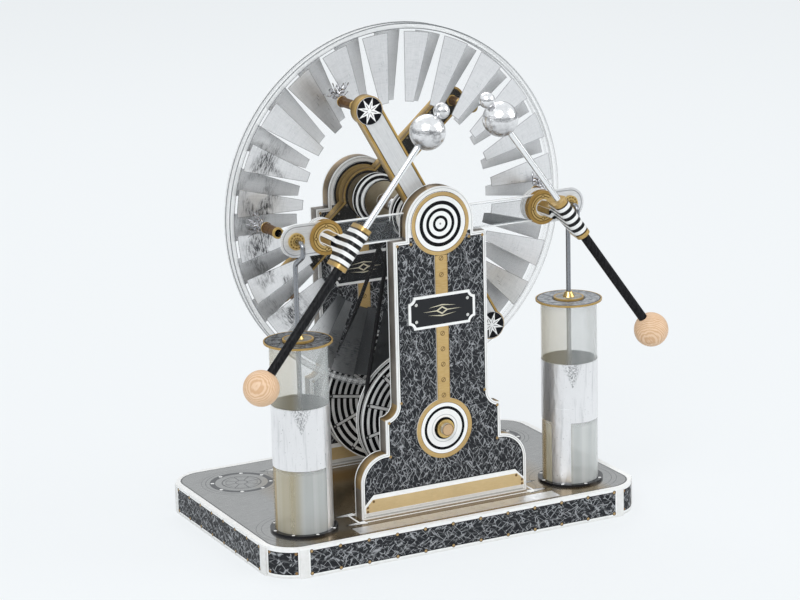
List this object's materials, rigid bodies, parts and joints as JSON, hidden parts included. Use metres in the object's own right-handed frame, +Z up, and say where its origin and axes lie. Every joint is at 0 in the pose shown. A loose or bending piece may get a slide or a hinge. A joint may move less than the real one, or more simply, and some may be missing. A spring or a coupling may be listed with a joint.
{
  "type": "wimshurst machine",
  "caption": "Electrostatic generator: two counter-rotating foil-sectored clear discs on a boxed base, belt-driven by a rear crank, with collectors, spark electrodes and Leyden jars.",
  "frame": {"origin": "centre of the base's underside, where it stands on a table", "axes": "+X along the long side of the base, to the right seen from the front; +Y to the back, where the crank is; +Z up"},
  "size_m": [0.3132, 0.2058, 0.3408],
  "materials": {
    "steel_rod": "polished",
    "card_grey": "matte",
    "skirt_print": "satin",
    "print_metal": "satin",
    "clear_plate": "gloss",
    "brush_brown": "satin",
    "drum_gold": "satin",
    "plate_silver": "satin",
    "corner_print": "satin",
    "post_white": "satin",
    "crank_steel": "satin",
    "knob_wood": "satin",
    "shaft_wood": "matte",
    "ball_alu": "satin",
    "clamp_stripe": "satin",
    "grip_wood": "satin",
    "handle_black": "gloss",
    "electrode_rod": "polished",
    "foil_bright": "polished",
    "belt_rubber": "matte",
    "clear_disc": "gloss",
    "wheel_print": "satin",
    "bar_silver": "satin",
    "star_cap": "satin",
    "pulley_print": "satin",
    "foil_sector": "brushed",
    "leather_print": "satin",
    "band_bronze": "satin",
    "block_wood": "matte",
    "trim_gold": "satin",
    "lid_marble": "satin",
    "ring_black": "satin",
    "wire_alu": "polished",
    "collar_brass": "satin"
  },
  "bodies": {
    "stand": {"axle_spacers": "steel_rod", "base_bottom": "card_grey", "base_ribs": "card_grey", "base_skirts": "skirt_print", "base_top": "print_metal", "collector_arms": "clear_plate", "collector_combs": "brush_brown", "collector_drums": "drum_gold", "collector_plates": "plate_silver", "corner_panels": "corner_print", "corner_posts": "post_white", "disc_axle": "steel_rod", "foil_strip": "foil_bright", "front_belt": "belt_rubber", "front_tower_back": "leather_print", "front_tower_band": "band_bronze", "front_tower_blocks": "block_wood", "front_tower_face": "leather_print", "front_tower_trim": "trim_gold", "jar_foils": "foil_bright", "jar_lids": "lid_marble", "jar_rings": "ring_black", "jar_tubes": "clear_plate", "jar_wires": "wire_alu", "lid_nuts": "collar_brass", "rear_belt": "belt_rubber", "rear_tower_back": "leather_print", "rear_tower_band": "band_bronze", "rear_tower_blocks": "block_wood", "rear_tower_face": "leather_print", "rear_tower_trim": "trim_gold"},
    "crank": {"crank_shaft": "shaft_wood", "front_drive_wheel": "wheel_print", "rear_drive_wheel": "wheel_print", "shaft_collars": "collar_brass", "crank_arm": "crank_steel", "knob_pin": "steel_rod"},
    "knob": {"crank_knob": "knob_wood"},
    "front_plate": {"front_disc": "clear_disc", "front_sectors": "foil_sector", "front_pulley": "pulley_print"},
    "rear_plate": {"rear_disc": "clear_disc", "rear_sectors": "foil_sector", "rear_pulley": "pulley_print"},
    "front_neutralizer": {"front_neutralizer_bar": "bar_silver", "front_neutralizer_brushes": "brush_brown", "front_neutralizer_caps": "star_cap"},
    "rear_neutralizer": {"rear_neutralizer_bar": "bar_silver", "rear_neutralizer_brushes": "brush_brown", "rear_neutralizer_caps": "star_cap"},
    "electrode_left": {"electrode_left_balls": "ball_alu", "electrode_left_clamp": "clamp_stripe", "electrode_left_grip": "grip_wood", "electrode_left_handle": "handle_black", "electrode_left_rod": "electrode_rod"},
    "electrode_right": {"electrode_right_balls": "ball_alu", "electrode_right_clamp": "clamp_stripe", "electrode_right_grip": "grip_wood", "electrode_right_handle": "handle_black", "electrode_right_rod": "electrode_rod"}
  },
  "joints": [
    {"name": "crank_spin", "type": "hinge", "parent": "stand", "child": "crank", "pos_m": [0, 0, 0.0752], "axis": [0, 1, 0], "continuous": true},
    {"name": "knob_spin", "type": "hinge", "parent": "crank", "child": "knob", "pos_m": [0, 0, 0.0392], "axis": [0, 1, 0], "continuous": true},
    {"name": "front_plate_spin", "type": "hinge", "parent": "stand", "child": "front_plate", "pos_m": [0, 0, 0.2158], "axis": [0, 1, 0], "continuous": true},
    {"name": "rear_plate_spin", "type": "hinge", "parent": "stand", "child": "rear_plate", "pos_m": [0, 0, 0.2158], "axis": [0, 1, 0], "continuous": true},
    {"name": "front_neutralizer_swing", "type": "hinge", "parent": "stand", "child": "front_neutralizer", "pos_m": [0, 0, 0.2158], "axis": [0, 1, 0], "range_deg": [-20, 3]},
    {"name": "rear_neutralizer_swing", "type": "hinge", "parent": "stand", "child": "rear_neutralizer", "pos_m": [0, 0, 0.2158], "axis": [0, 1, 0], "range_deg": [-27, 25]},
    {"name": "left_electrode_swing", "type": "hinge", "parent": "stand", "child": "electrode_left", "pos_m": [-0.0807, 0, 0.2158], "axis": [0, 1, 0], "range_deg": [-60, 6]},
    {"name": "right_electrode_swing", "type": "hinge", "parent": "stand", "child": "electrode_right", "pos_m": [0.0807, 0, 0.2158], "axis": [0, 1, 0], "range_deg": [-9, 60]}
  ],
  "couplings": [
    {"joint": "front_plate_spin", "follows": "crank_spin", "ratio": 2.75},
    {"joint": "rear_plate_spin", "follows": "crank_spin", "ratio": -2.75}
  ]
}
